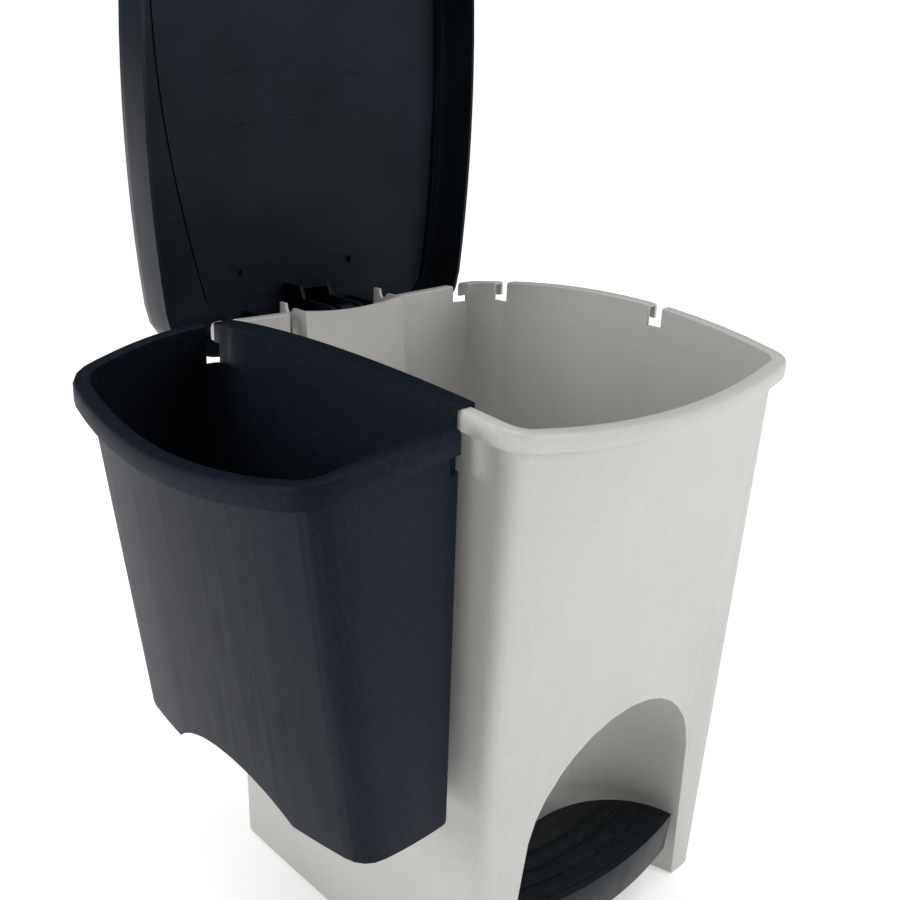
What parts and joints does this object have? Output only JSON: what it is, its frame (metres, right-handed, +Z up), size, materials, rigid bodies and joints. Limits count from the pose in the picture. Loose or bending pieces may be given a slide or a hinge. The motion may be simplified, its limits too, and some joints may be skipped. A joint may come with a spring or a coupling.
{
  "type": "double recycling bin",
  "caption": "Pedal recycling bin with an open hinged lid, a rod linkage, and a small bucket hooked over the left rim.",
  "frame": {"origin": "middle of the whole outline on the floor, with the lid open and the bucket hung", "axes": "+Z up, -Y towards the pedal and the user, -X towards the hung bucket"},
  "size_m": [0.4178, 0.397, 0.7462],
  "materials": {
    "grey_shell": "satin",
    "dark_shell": "satin",
    "pedal_black": "fine matte grain",
    "rubber": "matte",
    "steel": "drawn"
  },
  "bodies": {
    "bin": {"body_shell": "grey_shell", "foot_pad_front_left": "rubber", "foot_pad_front_right": "rubber", "foot_pad_back_left": "rubber", "foot_pad_back_right": "rubber", "hinge_pin_left": "steel", "hinge_pin_right": "steel", "pedal_pin": "steel", "pedal_pin_cap_left": "steel", "pedal_pin_cap_right": "steel"},
    "lid": {"lid_shell": "dark_shell", "crank_pin": "steel"},
    "rod": {"push_rod": "steel", "rod_head": "pedal_black", "rod_foot": "pedal_black", "foot_pin": "steel"},
    "pedal": {"pedal_lever": "pedal_black", "pedal_tread": "pedal_black"},
    "bucket": {"bucket_shell": "dark_shell"}
  },
  "joints": [
    {"name": "lid_hinge", "type": "hinge", "parent": "bin", "child": "lid", "pos_m": [0.05457, 0.14188, 0.398], "axis": [-1, 0, 0], "range_deg": [-90, 0]},
    {"name": "rod_pivot", "type": "hinge", "parent": "lid", "child": "rod", "pos_m": [0.05457, 0.13127, 0.40861], "axis": [-1, 0, 0], "range_deg": [0, 90]},
    {"name": "pedal_pivot", "type": "hinge", "parent": "bin", "child": "pedal", "pos_m": [0.05457, 0.01261, 0.027], "axis": [1, 0, 0], "range_deg": [-13, 0]},
    {"name": "bucket_lift", "type": "slide", "parent": "bin", "child": "bucket", "axis": [0, 0, 1], "range_m": [0, 0.005]}
  ],
  "couplings": [
    {"joint": "rod_pivot", "follows": "lid_hinge", "ratio": -1},
    {"joint": "pedal_pivot", "follows": "lid_hinge", "ratio": 0.14444}
  ]
}
